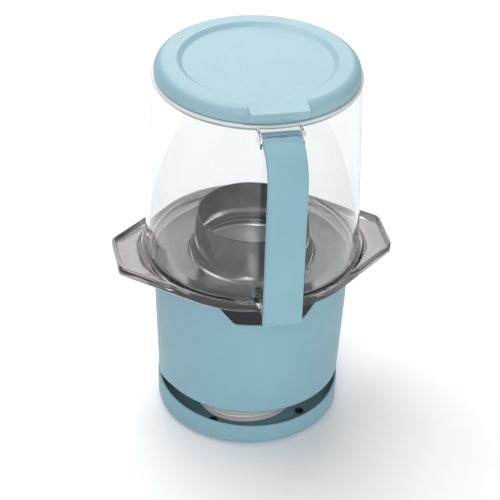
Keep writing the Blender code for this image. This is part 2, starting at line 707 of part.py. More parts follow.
def cover_tray(body):
    inner = CHUTE_R - TRAY_WALL
    tray = turned("cover_tray", [
        (TRAY_R, TRAY_LIP, 0.0009), (TRAY_R, TRAY_BOTTOM, 0.0004), (TRAY_R - 0.002, TRAY_BOTTOM),
        (TRAY_R - 0.0024, 0.1468), (0.0810, 0.1468), (0.0770, 0.1436), (0.0660, 0.1420), (0.0465, 0.1420),
        (0.0460, 0.1392), (inner, 0.1392), (inner - 0.001, CHUTE_TOP, 0.0006),
        (CHUTE_R - 0.0016, CHUTE_TOP, 0.0006), (CHUTE_R, 0.1500), (0.0500, 0.1444, 0.004), (0.0660, 0.1444),
        (0.0770, 0.1462, 0.003), (0.0800, 0.1504, 0.001), (0.0824, 0.1504, 0.0005),
        (0.0826, TRAY_SEAT), (TRAY_R - 0.0022, TRAY_SEAT), (TRAY_R - 0.0022, TRAY_LIP, 0.0006)],
        "smoked_tray", body)
    for side in (1, -1):
        shape(tray, grip(body, side), "UNION")


# ---- jar and handle ----

def jar(body):
    wall = turned("jar", [
        (JAR_RIM_R, JAR_TOP, 0.0008), (JAR_RIM_R, JAR_TOP - 0.0024), (JAR_RIM_R - 0.0008, JAR_TOP - 0.0034),
        (JAR_FOOT_R, JAR_FOOT, 0.0006), (JAR_FOOT_R - JAR_WALL, JAR_FOOT),
        (JAR_RIM_R - 0.0008 - JAR_WALL + 0.0004, JAR_TOP - 0.0034), (JAR_RIM_R - 0.0030, JAR_TOP, 0.0006)],
        "clear_jar", body)
    face = HANDLE_Y + HANDLE_THICK + GAP
    half = LUG_WIDE / 2
    pieces = {
        "lug": ((-half, face, 0.1512), (half, -0.0838, 0.1660)),
        "lug_toe": ((-half, face, 0.1500), (half, -0.0910, 0.1530)),
        "bracket": ((-0.0170, -0.0925, HANDLE_TOP + 0.0005), (0.0170, -0.0790, HANDLE_TOP + 0.0026)),
        "cheek_left": ((-0.0170, -0.0925, 0.2900), (-0.0153, -0.0785, HANDLE_TOP + 0.0020)),
        "cheek_right": ((0.0153, -0.0925, 0.2900), (0.0170, -0.0785, HANDLE_TOP + 0.0020)),
    }
    for name, (low, high) in pieces.items():
        shape(wall, box(f"jar_{name}", low, high), "UNION")


def handle(body):
    back = HANDLE_Y + HANDLE_THICK
    end = -JAR_RIM_R - 0.0019
    outline = rounded([
        (end, HANDLE_TOP, 0.0008), (HANDLE_Y, HANDLE_TOP, HANDLE_BEND), (HANDLE_Y, HANDLE_FOOT, 0.0035),
        (back, HANDLE_FOOT, 0.0008), (back, HANDLE_TOP - HANDLE_THICK, HANDLE_BEND - HANDLE_THICK),
        (end, HANDLE_TOP - HANDLE_THICK, 0.0008)])
    strap = flat("handle", outline, HANDLE_WIDE, "aqua_shell", body)
    strap.rotation_euler = (pi / 2, 0, pi / 2)
    step = strap.modifiers.new("Edges", "BEVEL")
    step.width = 0.0012
    step.segments = 2
    step.limit_method = "ANGLE"
    step.angle_limit = radians(50)


# ---- lid ----

def lid(body):
    floor = LID_TOP - LID_RECESS
    skin = 0.0024
    ring = JAR_RIM_R - 0.0036
    foot = JAR_TOP + GAP
    cover = turned("lid", [
        (0, floor), (LID_RECESS_R - 0.0022, floor, 0.002), (LID_RECESS_R, LID_TOP, 0.0015),
        (LID_R, LID_TOP, LID_SHOULDER), (LID_R, foot, 0.0006), (ring, foot), (ring, foot - 0.006, 0.0006),
        (ring - 0.002, foot - 0.006, 0.0006), (ring - 0.002, LID_TOP - skin, 0.003),
        (LID_RECESS_R + 0.0012, LID_TOP - skin), (LID_RECESS_R - 0.001, floor - skin),
        (0, floor - skin)], "lid_aqua", body, closed=False)
    tab = box("lid_tab", (-LID_TAB_HALF, LID_TAB_Y, 0.3098), (LID_TAB_HALF, -0.0700, LID_TOP - 0.00005),
              bevel=0.0008)
    shape(cover, tab, "UNION")
    shape(cover, box("lid_finger", (-0.0205, -0.0900, 0.3000), (0.0205, -0.0778, 0.3094)))


def build():
    axis_y = -(HANDLE_Y + TRAY_R) / 2  # puts the origin midway between the handle and the tray's back
    base, spin, tray, jar_frame, lid_frame = (
        frame(f"{name}_frame", (0, axis_y, 0)) for name in ("base", "rotor", "tray", "jar", "lid"))
    for make in (base_dish, feet, cord_hub, base_screws, cord, strain_relief, plug, outer_housing,
                 front_badge, top_deck, base_plate, housing_screws, fan_duct, motor_bracket, motor,
                 heater, rectifier, air_sleeve, popping_chamber, tie_rods):
        make(base)
    rotor(spin)
    cover_tray(tray)
    jar(jar_frame)
    handle(jar_frame)
    lid(lid_frame)


build()
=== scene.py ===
"""Looks of the compact hot-air popcorn maker: smooth shells, the wound cord and every finish.

Metres, +Z up, in the packed part's own frame. The front, with the handle and the lid's tab, is at -Y.
Shapes are drawn about the turned pieces' axis and moved onto it when they become pieces.
"""

import json
from math import acos, atan2, cos, hypot, pi, radians, sin, sqrt, tan

import bmesh
import bpy
from bpy.props import FloatProperty, FloatVectorProperty, IntProperty, PointerProperty
from mathutils import Matrix, Vector
from mathutils.geometry import intersect_line_line_2d
from numpy import interp


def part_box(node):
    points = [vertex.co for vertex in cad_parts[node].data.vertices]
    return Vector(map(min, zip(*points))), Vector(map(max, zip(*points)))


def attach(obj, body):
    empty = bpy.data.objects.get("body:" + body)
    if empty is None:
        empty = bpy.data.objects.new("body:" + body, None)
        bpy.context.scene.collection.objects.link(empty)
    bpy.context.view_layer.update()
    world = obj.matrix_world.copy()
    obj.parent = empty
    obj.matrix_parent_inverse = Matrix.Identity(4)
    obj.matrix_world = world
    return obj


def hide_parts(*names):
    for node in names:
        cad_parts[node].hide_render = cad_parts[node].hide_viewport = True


bl_info = {
    "name": "Popcorn Maker Looks",
    "version": (1, 0, 0),
    "blender": (4, 5, 0),
    "location": "3D View > Sidebar > Popper",
    "description": "Builds the shells, cord and finishes of a compact hot-air popcorn maker",
    "category": "Object",
}

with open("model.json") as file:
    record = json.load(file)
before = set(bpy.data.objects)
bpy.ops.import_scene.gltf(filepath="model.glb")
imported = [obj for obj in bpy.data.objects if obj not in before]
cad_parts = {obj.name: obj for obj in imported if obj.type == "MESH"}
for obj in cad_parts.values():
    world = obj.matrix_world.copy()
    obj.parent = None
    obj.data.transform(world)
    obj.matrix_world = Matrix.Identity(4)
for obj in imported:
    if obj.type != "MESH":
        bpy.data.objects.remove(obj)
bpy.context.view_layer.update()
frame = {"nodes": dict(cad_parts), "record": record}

MERGE = 0.00001
ARC_STEP = 0.0006  # a rounded corner gets one face for each such length of its radius
ROUND = 240  # faces round a large turned piece
FINE = 360  # round a piece whose edge follows an outline
TRAY_STEPS = 480
SMALL = 48
CREASE = 42  # degrees past which an edge is sharp
ROUTE_STEP = 0.0025  # between points along the lead


def reach(node):
    """How far a turned node goes from its axis along X."""
    low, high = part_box(node)
    return (high.x - low.x) / 2


def low_of(node):
    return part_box(node)[0].z


def high_of(node):
    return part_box(node)[1].z


DECK_LOW, DECK_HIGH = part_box("top_deck")
AXIS = Vector(((DECK_LOW.x + DECK_HIGH.x) / 2, (DECK_LOW.y + DECK_HIGH.y) / 2, 0))
HANDLE_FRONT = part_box("handle")[0].y - AXIS.y
RELIEF = Vector((-0.0332, 0.0444, 0.0276))  # the strain relief's root, from the axis
RELIEF_WAY = Vector((-0.36, -0.933, 0)).normalized()
RELIEF_LONG = 0.0163


# ---- sizes and colours that a user would change ----

def size(title, note, default, **more):
    return FloatProperty(name=title, description=note, default=default, unit="LENGTH", precision=5, **more)


def colour(title, note, default):
    return FloatVectorProperty(name=title, description=note, default=default, subtype="COLOR", min=0, max=1)


class PopperColours(bpy.types.PropertyGroup):
    """Colours of the outside finishes."""
    shell: colour("Shell", "Housing, dish and handle", (0.222, 0.395, 0.462))
    lid: colour("Lid", "Lid", (0.262, 0.422, 0.482))
    smoke: colour("Smoke", "Tint of the tray", (0.27, 0.252, 0.257))
    # The clear tint also colours the painted highlight on the rim bead.
    clear: colour("Clear", "Tint of the jar", (0.935, 0.948, 0.948))
    charcoal: colour("Charcoal", "Badge and deck", (0.014, 0.012, 0.015))
    cord: colour("Cord", "Vinyl of the lead", (0.90, 0.86, 0.85))
    floor: colour("Floor", "Ground under the part", (0.95, 0.95, 0.955))


class HousingSizes(bpy.types.PropertyGroup):
    """The tall shell, its cord opening and its badge."""
    wall: size("Wall", "Thickness of the shell", 0.0024)
    foot: size("Foot radius", "Radius at the seam with the dish", 0.0735)
    middle: size("Middle radius", "Radius where the side turns upright", 0.0772)
    middle_height: size("Middle height", "Height of that turn", 0.1040)
    mouth_top: size("Opening top", "Height of the edge over the cord opening", 0.0332)
    mouth_corner: size("Opening corner", "Radius of the opening's corners", 0.0080)
    badge_bottom: size("Badge bottom", "Height of the badge's lower edge", 0.1222)
    badge_half: size("Badge half", "Half the badge's width at its lower edge", 0.0275)
    badge_top_half: size("Badge top half", "Half its width at its upper edge", 0.0398)
    badge_gap: size("Badge gap", "Dark line round the badge", 0.0007)


class DishSizes(bpy.types.PropertyGroup):
    """The round base that stows the cord."""
    wall: size("Wall", "Thickness of the side", 0.0022)
    bottom: size("Bottom", "Height of the underside", 0.0015)
    floor: size("Floor", "Height of the floor inside", 0.0040)
    dip: size("Dip", "How far the rim sinks at the front", 0.0056)
    foot_ring: size("Foot ring", "Distance of the feet from the axis", 0.0540)


class TraySizes(bpy.types.PropertyGroup):
    """The smoked tray with its two grips."""
    radius: size("Radius", "Radius of the round lip", 0.0888)
    wall: size("Wall", "Thickness of the lip", 0.0022)
    seat: size("Seat", "Height that the jar stands at", 0.1490)
    grip_floor: size("Grip floor", "Height of the floor of each grip", 0.1472)
    grip_half: size("Grip half", "Half a grip's width at its end", 0.0205)
    grip_corner: size("Grip corner", "Radius of a grip's corners", 0.0080)
    chute: size("Chute", "Outer radius of the chute", 0.0464)


class JarSizes(bpy.types.PropertyGroup):
    """The clear jar, its rim bead, bracket and lug."""
    wall: size("Wall", "Thickness of the jar", 0.0026)
    rim: size("Rim radius", "Radius of the bead at the top", 0.0809)
    foot: size("Foot radius", "Radius at the tray", 0.0860)
    lug_half: size("Lug half", "Half the lug's width at the jar", 0.0172)
    bracket_half: size("Bracket half", "Half the bracket's width over the handle", 0.0170)


class HandleSizes(bpy.types.PropertyGroup):
    """The strap handle."""
    thick: size("Thickness", "Thickness of the strap", 0.0060)
    bend: size("Bend", "Radius of the bend at the top", 0.0300)
    edge: size("Edge", "Radius of the strap's edges", 0.0014)


class LidSizes(bpy.types.PropertyGroup):
    """The lid, its dished top and its tab."""
    radius: size("Radius", "Radius of the skirt", 0.0792)
    shoulder: size("Shoulder", "Radius of the edge round the top", 0.0085)
    crest: size("Crest", "Radius of the edge of the dished top", 0.0618)
    recess: size("Recess", "Depth of the dished top", 0.0026)
    tab_half: size("Tab half", "Half the tab's width", 0.0220)
    tab_front: size("Tab front", "Distance of the tab's edge from the axis", 0.0844)


class CordSizes(bpy.types.PropertyGroup):
    """The flat twin lead wound in the dish."""
    wide: size("Width", "Width over both cores", 0.0070)
    thick: size("Thickness", "Thickness of one core", 0.0034)
    radius: size("Coil radius", "Radius of the turns at their middle", 0.0414)
    levels: IntProperty(name="Levels", description="Turns on top of each other", default=3, min=1, max=3)


class StageSizes(bpy.types.PropertyGroup):
    """The camera and the lights."""
    azimuth: FloatProperty(name="Azimuth", description="Camera round the part", default=radians(-12.5),
                           subtype="ANGLE")
    elevation: FloatProperty(name="Elevation", description="Camera above the horizon",
                             default=radians(32.9), subtype="ANGLE")
    lean: FloatProperty(name="Lean", description="Roll of the camera", default=radians(2.0), subtype="ANGLE")
    distance: size("Distance", "Camera from the middle of the part", 1.6)
    aim_right: FloatProperty(name="Aim right", description="Aim to the right, as a slope", default=-0.0011)
    aim_up: FloatProperty(name="Aim up", description="Aim upwards, as a slope", default=-0.00969)
    lens: FloatProperty(name="Lens", description="Focal length in millimetres", default=144.17)


GROUPS = {
    "popper_colours": PopperColours, "popper_housing": HousingSizes, "popper_dish": DishSizes,
    "popper_tray": TraySizes, "popper_jar": JarSizes, "popper_handle": HandleSizes,
    "popper_lid": LidSizes, "popper_cord": CordSizes, "popper_stage": StageSizes,
}


# ---- shapes ----

def rounded(corners, closed=True):
    """An outline's points from (x, y) or (x, y, radius) corners, with an arc at each that has a radius."""
    points = []
    for i, corner in enumerate(corners):
        here = Vector(corner[:2])
        radius = corner[2] if len(corner) > 2 else 0
        if not radius or (not closed and i in (0, len(corners) - 1)):
            points.append(here)
            continue
        back = (Vector(corners[i - 1][:2]) - here).normalized()
        on = (Vector(corners[(i + 1) % len(corners)][:2]) - here).normalized()
        half = back.angle(on) / 2
        centre = here + (back + on).normalized() * (radius / sin(half))
        start = (here + back * (radius / tan(half)) - centre).normalized()
        end = (here + on * (radius / tan(half)) - centre).normalized()
        steps = min(14, max(3, round(radius / ARC_STEP)))
        points += [centre + start.slerp(end, k / steps) * radius for k in range(steps + 1)]
    return points


def spun(corners, steps=ROUND, closed=True):
    """An outline of (radius, height) corners turned once about the axis."""
    shape = bmesh.new()
    points = [shape.verts.new((x, 0, z)) for x, z in rounded(corners, closed)]
    pairs = list(zip(points, points[1:]))
    if closed:
        pairs.append((points[-1], points[0]))
    edges = [shape.edges.new(pair) for pair in pairs]
    bmesh.ops.spin(shape, geom=points + edges, cent=(0, 0, 0), axis=(0, 0, 1), dvec=(0, 0, 0),
                   angle=2 * pi, steps=steps, use_merge=True)
    return welded(shape)


def welded(shape):
    bmesh.ops.remove_doubles(shape, verts=shape.verts, dist=MERGE)
    return shape


def block(low, high, edge=0.0):
    """A box between two corners, with rounded edges."""
    shape = bmesh.new()
    extent = Vector(high) - Vector(low)
    place = Matrix.Translation(Vector(low) + extent / 2) @ Matrix.Diagonal((*extent, 1))
    bmesh.ops.create_cube(shape, size=1, matrix=place)
    return softened(shape, edge)


def softened(shape, edge, sharper_than=30, segments=4):
    """The shape with its corners bevelled."""
    if edge:
        sharp = [e for e in shape.edges if e.calc_face_angle(0) > radians(sharper_than)]
        bmesh.ops.bevel(shape, geom=sharp, offset=edge, offset_type="OFFSET", segments=segments,
                        profile=0.5, affect="EDGES", material=-1, clamp_overlap=True)
    return shape


def post(radius, low, high, at=(0, 0), steps=SMALL):
    """An upright round bar over the point at."""
    shape = bmesh.new()
    bmesh.ops.create_cone(shape, cap_ends=True, segments=steps, radius1=radius, radius2=radius,
                          depth=high - low, matrix=Matrix.Translation((*at, (low + high) / 2)))
    return shape


def slab(outline, near, far, lay):
    """An outline made solid between two depths. lay places a point (x, y, depth)."""
    shape = bmesh.new()
    face = shape.faces.new([shape.verts.new(lay(x, y, near)) for x, y in outline])
    made = bmesh.ops.extrude_face_region(shape, geom=[face], use_keep_orig=True)["geom"]
    shift = Vector(lay(0, 0, far)) - Vector(lay(0, 0, near))
    bmesh.ops.translate(shape, vec=shift, verts=[v for v in made if isinstance(v, bmesh.types.BMVert)])
    bmesh.ops.recalc_face_normals(shape, faces=shape.faces)
    return shape


def sideways(y, z, depth):
    """Lays an outline in the YZ plane, with its depth along X."""
    return depth, y, z


def facing(x, z, depth):
    """Lays an outline in the XZ plane, with its depth along Y."""
    return x, depth, z


def carved(shape, tools, operation="DIFFERENCE"):
    """The shape after each tool is cut from it or joined to it."""
    for tool in tools:
        pair = []
        for one in (shape, tool):
            bmesh.ops.recalc_face_normals(one, faces=one.faces)
            mesh = bpy.data.meshes.new("blank")
            one.to_mesh(mesh)
            one.free()
            pair.append(bpy.data.objects.new("blank", mesh))
            bpy.context.scene.collection.objects.link(pair[-1])
        step = pair[0].modifiers.new("Cut", "BOOLEAN")
        step.operation = operation
        step.object = pair[1]
        bpy.context.view_layer.update()
        shape = bmesh.new()
        shape.from_object(pair[0], bpy.context.evaluated_depsgraph_get())
        for blank in pair:
            mesh = blank.data
            bpy.data.objects.remove(blank)
            bpy.data.meshes.remove(mesh)
    return shape


def swept(route, section):
    """A closed section carried along the points of a route, standing upright, with its ends filled."""
    shape = bmesh.new()
    ways = [(route[min(i + 1, len(route) - 1)] - route[max(i - 1, 0)]).normalized()
            for i in range(len(route))]
    places = []
    for point, way in zip(route, ways):
        side = way.cross(Vector((0, 0, 1))).normalized()
        up = side.cross(way)
        places.append(Matrix.Translation(point) @ Matrix((side, way, up)).transposed().to_4x4())
    verts = [shape.verts.new(places[0] @ Vector((x, 0, z))) for x, z in section]
    ring = [shape.edges.new((a, b)) for a, b in zip(verts, verts[1:] + verts[:1])]
    first = ring
    for last, place in zip(places, places[1:]):
        made = bmesh.ops.extrude_edge_only(shape, edges=ring)["geom"]
        verts = {item for item in made if isinstance(item, bmesh.types.BMVert)}
        ring = [item for item in made if isinstance(item, bmesh.types.BMEdge) and set(item.verts) <= verts]
        bmesh.ops.transform(shape, matrix=place @ last.inverted(), verts=list(verts))
    for end in (first, ring):
        bmesh.ops.edgeloop_fill(shape, edges=end)
    return shape


def ring_places(radius, angles):
    """Points on a circle about the axis, at angles in degrees from +X."""
    return [(radius * cos(radians(a)), radius * sin(radians(a))) for a in angles]


def piece(name, shape, finish, body, stands_for=(), crease=CREASE, look=None):
    """Puts a shape onto the axis as a piece of a body, with its finish or a look of its own."""
    bmesh.ops.translate(shape, vec=AXIS, verts=shape.verts)
    welded(shape)
    bmesh.ops.recalc_face_normals(shape, faces=shape.faces)
    mesh = bpy.data.meshes.new(name)
    shape.to_mesh(mesh)
    shape.free()
    mesh.shade_smooth()
    mesh.set_sharp_from_angle(angle=radians(crease))
    mesh.materials.append(look or finish_of(finish))
    obj = bpy.data.objects.new(name, mesh)
    bpy.context.scene.collection.objects.link(obj)
    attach(obj, body)
    if stands_for:
        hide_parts(*stands_for)
    return obj


# ---- finishes ----

class Graph:
    """A material's nodes, with its pattern set out on Object coordinates from the part's axis."""

    def __init__(self, name):
        self.material = bpy.data.materials.new(name)
        self.material.use_nodes = True
        self.nodes = self.material.node_tree.nodes
        self.links = self.material.node_tree.links
        self.shader = self.nodes["Principled BSDF"]
        self.place = self.nodes.new("ShaderNodeTexCoord").outputs["Object"]

    def add(self, kind, inputs=None, **settings):
        node = self.nodes.new(kind)
        for name, value in settings.items():
            setattr(node, name, value)
        for name, value in (inputs or {}).items():
            if isinstance(value, bpy.types.NodeSocket):
                self.links.new(value, node.inputs[name])
            else:
                node.inputs[name].default_value = value
        return node

    def mapped(self, stretch=(1, 1, 1)):
        """Coordinates from the axis, squeezed along each direction."""
        shift = [-a * s for a, s in zip(AXIS, stretch)]
        return self.add("ShaderNodeMapping", {
            "Vector": self.place, "Location": shift, "Scale": stretch}).outputs[0]

    def noise(self, grain, detail=2.0, stretch=(1, 1, 1)):
        """Noise whose blotches are about grain metres across."""
        return self.add("ShaderNodeTexNoise", {
            "Vector": self.mapped(stretch), "Scale": 1 / grain, "Detail": detail}).outputs["Fac"]

    def between(self, source, low, high, start=0.3, end=0.7):
        return self.add("ShaderNodeMapRange", {
            "Value": source, "From Min": start, "From Max": end, "To Min": low, "To Max": high}).outputs[0]

    def blend(self, source, first, second, start=0.3, end=0.7):
        """Two colours mixed by a pattern."""
        mix = self.add("ShaderNodeMix", data_type="RGBA")
        self.links.new(self.between(source, 0, 1, start, end), mix.inputs[0])
        mix.inputs[6].default_value = (*first, 1)
        mix.inputs[7].default_value = (*second, 1)
        return mix.outputs[2]

    def set(self, **values):
        """Links a pattern, or sets a plain value, on the shader's own sockets."""
        for name, value in values.items():
            socket = self.shader.inputs[name.replace("_", " ")]
            if isinstance(value, bpy.types.NodeSocket):
                self.links.new(value, socket)
            else:
                socket.default_value = value
        return self

    def bump(self, *layers):
        """Layers of (height pattern, depth in metres, strength), one on top of the other."""
        normal = None
        for height, depth, strength in layers:
            inputs = {"Height": height, "Distance": depth, "Strength": strength}
            if normal:
                inputs["Normal"] = normal
            normal = self.add("ShaderNodeBump", inputs).outputs[0]
        self.links.new(normal, self.shader.inputs["Normal"])
        return self

    def lets_light_through(self, tint):
        """Lets lamps shine through the plastic, tinted, so that it doesn't throw a solid shadow."""
        path = self.add("ShaderNodeLightPath")
        pane = self.add("ShaderNodeBsdfTransparent", {"Color": (*tint, 1)})
        mix = self.add("ShaderNodeMixShader", {"Fac": path.outputs["Is Shadow Ray"]})
        self.links.new(self.shader.outputs[0], mix.inputs[1])
        self.links.new(pane.outputs[0], mix.inputs[2])
        self.links.new(mix.outputs[0], self.nodes["Material Output"].inputs["Surface"])
        return self


def shade(tint, by):
    """A colour made lighter or darker."""
    return [min(1, c * by) for c in tint]


def moulded(name, tint, roughness, mottle=0.03, grain=0.0004, depth=0.00002, sheen=0.0, specular=0.5):
    """Moulded plastic: faint flow in its colour, uneven gloss and a fine spark-eroded grain."""
    graph = Graph(name)
    flow = graph.noise(0.045, 3)
    graph.set(
        Base_Color=graph.blend(flow, shade(tint, 1 - mottle), shade(tint, 1 + mottle)),
        Roughness=graph.between(graph.noise(0.006, 4), roughness - 0.04, roughness + 0.04),
        Specular_IOR_Level=specular, Sheen_Weight=sheen, Sheen_Roughness=0.4)
    graph.bump((graph.noise(0.02, 2), 0.00006, 0.15), (graph.noise(grain, 3), depth, 0.45))
    return graph.material


def clear(name, tint, shadow, roughness, ior=1.52):
    """Clear or smoked plastic: polished, with the faint waviness of a moulding."""
    graph = Graph(name)
    flow = graph.noise(0.03, 2)
    graph.set(
        Base_Color=graph.blend(flow, shade(tint, 0.985), tint),
        Roughness=graph.between(graph.noise(0.01, 3), roughness, roughness + 0.02),
        Transmission_Weight=1.0, IOR=ior)
    graph.bump((graph.noise(0.016, 1), 0.00010, 0.10))
    graph.lets_light_through(shadow)
    return graph.material


def painted_rim_highlight(name, tint):
    """The polished rim of a clear moulding, given a painted highlight: whitish and only partly clear, it
    stands in for the light that runs up the jar's wall and shows at its rim.
    """
    graph = Graph(name)
    flow = graph.noise(0.02, 2)
    # Painted highlight: a near-white base with low transmission makes the rim read bright under any lamp.
    graph.set(Base_Color=graph.blend(flow, shade(tint, 0.96), tint), IOR=1.5,
              Roughness=graph.between(flow, 0.10, 0.18), Transmission_Weight=0.35)
    graph.bump((graph.noise(0.012, 1), 0.00010, 0.10))
    return graph.material


def metal(name, tint, roughness, lines=(1, 1, 1), grain=0.0012, depth=0.00001, change=0.06):
    """Sheet or drawn metal with a lay: its scratches run where the pattern is stretched."""
    graph = Graph(name)
    lay = graph.noise(grain, 4, lines)
    graph.set(
        Base_Color=graph.blend(graph.noise(0.012, 3), shade(tint, 1 - change), shade(tint, 1 + change)),
        Roughness=graph.between(lay, roughness - 0.07, roughness + 0.09), Metallic=1.0)
    graph.bump((lay, depth, 0.5))
    return graph.material


def spun_metal(name, tint, roughness):
    """Metal spun on a lathe: fine rings about the axis."""
    graph = Graph(name)
    rings = graph.add("ShaderNodeTexWave", {
        "Vector": graph.mapped(), "Scale": 260, "Distortion": 0.4, "Detail": 2}, wave_type="RINGS",
        rings_direction="Z").outputs["Fac"]
    graph.set(
        Base_Color=graph.blend(graph.noise(0.015, 4), shade(tint, 0.94), tint),
        Roughness=graph.between(rings, roughness - 0.05, roughness + 0.08, 0, 1), Metallic=1.0)
    graph.bump((rings, 0.00001, 0.4))
    return graph.material


def flaky(name, tint, dark):
    """Mica board: pressed flakes."""
    graph = Graph(name)
    flakes = graph.add("ShaderNodeTexVoronoi", {"Vector": graph.mapped(), "Scale": 700}).outputs["Distance"]
    graph.set(Base_Color=graph.blend(flakes, dark, tint, 0, 0.6),
              Roughness=graph.between(flakes, 0.35, 0.6, 0, 1))
    graph.bump((flakes, 0.00003, 0.4))
    return graph.material


def board(name, tint):
    """Circuit board: lacquer over a woven glass base."""
    graph = Graph(name)
    weave = graph.add("ShaderNodeTexChecker", {
        "Vector": graph.mapped(), "Scale": 1600,
        "Color1": (1, 1, 1, 1), "Color2": (0, 0, 0, 1)}).outputs["Fac"]
    graph.set(Base_Color=graph.blend(weave, shade(tint, 0.85), tint, 0, 1),
              Roughness=graph.between(graph.noise(0.004), 0.25, 0.4), Coat_Weight=0.3)
    graph.bump((weave, 0.00001, 0.3))
    return graph.material


def rubber(name, tint):
    graph = Graph(name)
    bloom = graph.noise(0.008, 4)
    graph.set(Base_Color=graph.blend(bloom, tint, shade(tint, 1.7)), Specular_IOR_Level=0.3,
              Roughness=graph.between(bloom, 0.7, 0.9))
    graph.bump((graph.noise(0.0005, 3), 0.00004, 0.5))
    return graph.material


def make_finish(slot):
    tones = bpy.context.scene.popper_colours
    makers = {
        "aqua_shell": lambda: moulded(slot, tones.shell, 0.50, sheen=0.06, specular=0.4),
        "lid_aqua": lambda: moulded(slot, tones.lid, 0.44, sheen=0.06, specular=0.6),
        "clear_jar": lambda: clear(slot, tones.clear, (0.93, 0.94, 0.94), 0.012, 1.46),
        "smoked_tray": lambda: clear(slot, tones.smoke, tones.smoke, 0.03, 1.55),
        "charcoal": lambda: moulded(slot, tones.charcoal, 0.45, 0.06, 0.0003, specular=0.3),
        "black_plastic": lambda: moulded(slot, (0.022, 0.022, 0.023), 0.42, 0.08, 0.0005),
        "foot_rubber": lambda: rubber(slot, (0.018, 0.018, 0.019)),
        "cord_white": lambda: moulded(slot, tones.cord, 0.34, 0.02, 0.0007, 0.000012),
        "aluminium": lambda: spun_metal(slot, (0.80, 0.80, 0.81), 0.28),
        "steel": lambda: metal(slot, (0.56, 0.57, 0.58), 0.32, (1, 1, 12)),
        "brass": lambda: metal(slot, (0.78, 0.60, 0.28), 0.24, (6, 1, 1)),
        "mica": lambda: flaky(slot, (0.48, 0.40, 0.28), (0.30, 0.24, 0.16)),
        "nichrome": lambda: metal(slot, (0.40, 0.36, 0.33), 0.38, (1, 1, 1), 0.002, change=0.2),
        "board_green": lambda: board(slot, (0.03, 0.16, 0.06)),
    }
    return makers[slot]()


def finish_of(slot):
    """The slot's material, made when it is first asked for."""
    name = f"{slot}_finish"
    if name not in bpy.data.materials:
        make_finish(slot).name = name
    return bpy.data.materials[name]


# ---- base ----

def mouth_edge(sizes, foot):
    """The housing's lower edge over the cord opening, as (x, height) points."""
    side = sizes.foot + 0.0002
    return rounded([(-side, foot), (-side + 0.0001, sizes.mouth_top, sizes.mouth_corner),
                    (side - 0.0001, sizes.mouth_top, sizes.mouth_corner), (side, foot)], closed=False)


def badge_edge(sizes, top, inset=0.0):
    """The notch's edge in the housing's upper edge, as (x, height) points."""
    right = [(sizes.badge_half - inset, sizes.badge_bottom + inset, 0.004 - inset),
             (sizes.badge_top_half - inset, top + inset, 0.008), (0.07, top + inset)]
    left = [(-x, *rest) for x, *rest in right[::-1]]
    return rounded(left + right, closed=False)


def height_at(x, edge):
    return float(interp(x, [p.x for p in edge], [p.y for p in edge]))


def housing_shape(sizes):
    """The shell, with its lower edge raised over the cord opening and its upper edge sunk for the badge."""
    foot, top, top_radius = low_of("outer_housing"), high_of("outer_housing"), reach("outer_housing")
    wall, middle = sizes.wall, sizes.middle_height
    shape = spun([
        (top_radius, top, 0.0008), (sizes.middle, middle, 0.03), (sizes.foot, foot, 0.0026),
        (sizes.foot - wall, foot, 0.0006), (sizes.middle - wall, middle, 0.03),
        (top_radius - wall, top, 0.0006)], FINE)
    mouth, badge = mouth_edge(sizes, foot), badge_edge(sizes, top)
    slopes = ((sizes.middle - sizes.foot) / (middle - foot), (top_radius - sizes.middle) / (top - middle))
    for vert in shape.verts:
        if vert.co.y > 0:
            continue
        lift, slope = 0, slopes[0]
        if vert.co.z < foot + 0.004:
            lift = height_at(vert.co.x, mouth) - foot
        elif vert.co.z > top - 0.0012:
            lift, slope = height_at(vert.co.x, badge) - top, slopes[1]
        distance = hypot(vert.co.x, vert.co.y)
        grow = 1 + lift * slope / distance
        vert.co = (vert.co.x * grow, vert.co.y * grow, vert.co.z + lift)
    return shape


def badge_shape(sizes):
    """The badge: a plate curved with the housing, set in the notch."""
    top = high_of("outer_housing") - 0.0003
    face = reach("outer_housing") - 0.0009
    half = sizes.badge_top_half - 0.0016
    edge = badge_edge(sizes, top, sizes.badge_gap)
    shape = bmesh.new()
    bmesh.ops.create_grid(shape, x_segments=96, y_segments=10, size=1)
    for vert in shape.verts:
        x = vert.co.x * half
        low = height_at(x, edge)
        vert.co = (x, -sqrt(face**2 - x**2), low + (top - low) * (vert.co.y + 1) / 2)
    bmesh.ops.recalc_face_normals(shape, faces=shape.faces)
    bmesh.ops.solidify(shape, geom=shape.faces[:], thickness=0.0018)
    bmesh.ops.recalc_face_normals(shape, faces=shape.faces)
    return softened(shape, 0.00025, 60, 2)


def dish_shape(sizes):
    """The dish, with its rim sunk at the front and three screw recesses beneath."""
    recess_radius, skin = 0.0034, 0.0009
    radius, seam = reach("base_dish"), high_of("base_dish")
    inner = radius - sizes.wall
    shape = spun([
        (0, sizes.floor), (inner, sizes.floor, 0.0035), (inner + 0.0002, seam, 0.0007),
        (radius, seam, 0.0012), (radius - 0.0006, sizes.bottom, 0.0042), (0, sizes.bottom)],
        FINE, closed=False)
    for vert in shape.verts:
        if vert.co.z > seam - 0.0015 and vert.co.y < 0:
            vert.co.z += sizes.dip * vert.co.y / radius
    for screw in ("base_screw_1", "base_screw_2", "base_screw_3"):
        low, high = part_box(screw)
        at = (low + high) / 2 - AXIS
        shape = carved(shape, [post(recess_radius, 0, sizes.floor - skin, at[:2])])
    return shape


